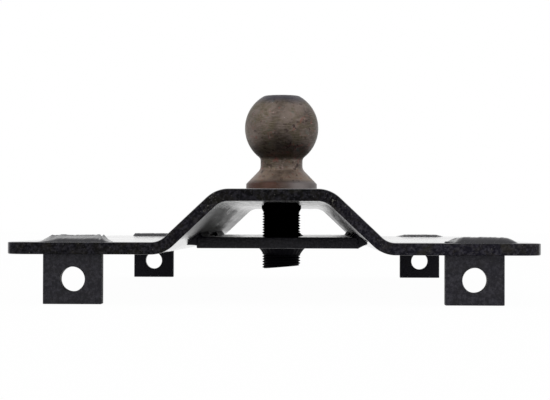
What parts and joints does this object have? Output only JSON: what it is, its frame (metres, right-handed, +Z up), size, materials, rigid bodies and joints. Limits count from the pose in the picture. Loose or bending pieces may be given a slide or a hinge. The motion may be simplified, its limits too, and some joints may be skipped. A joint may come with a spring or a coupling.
{
  "type": "gooseneck hitch",
  "caption": "Gooseneck ball hitch: bent steel plate with a hitch ball on its crown, a cross plate under it and corner legs with pin holes that drop into truck-bed rails.",
  "frame": {"origin": "under the middle of the ball, level with the lower ends of the legs", "axes": "+X across the bent plate to the right of the picture, +Y away from the camera along the bends, +Z up through the ball"},
  "size_m": [0.3404, 0.5784, 0.1538],
  "materials": {
    "black_coat": "black powder coat with a fine orange peel",
    "weld_coat": "black powder coat over rippled weld metal",
    "bare_steel": "bare forged steel, turned, with a light brown bloom of rust"
  },
  "bodies": {
    "root": {"main_plate": "black_coat", "leg_front_left": "black_coat", "leg_front_right": "black_coat", "leg_rear_left": "black_coat", "leg_rear_right": "black_coat", "cross_plate": "black_coat", "hitch_ball": "bare_steel", "weld_leg_top_front_left": "weld_coat", "weld_leg_top_front_right": "weld_coat", "weld_leg_top_rear_left": "weld_coat", "weld_leg_top_rear_right": "weld_coat", "weld_leg_under_front_left": "weld_coat", "weld_leg_under_front_right": "weld_coat", "weld_leg_under_rear_left": "weld_coat", "weld_leg_under_rear_right": "weld_coat", "weld_cross_front_left": "weld_coat", "weld_cross_front_right": "weld_coat", "weld_cross_rear_left": "weld_coat", "weld_cross_rear_right": "weld_coat", "weld_shank_lower": "weld_coat", "weld_shank_upper": "weld_coat"}
  },
  "joints": []
}
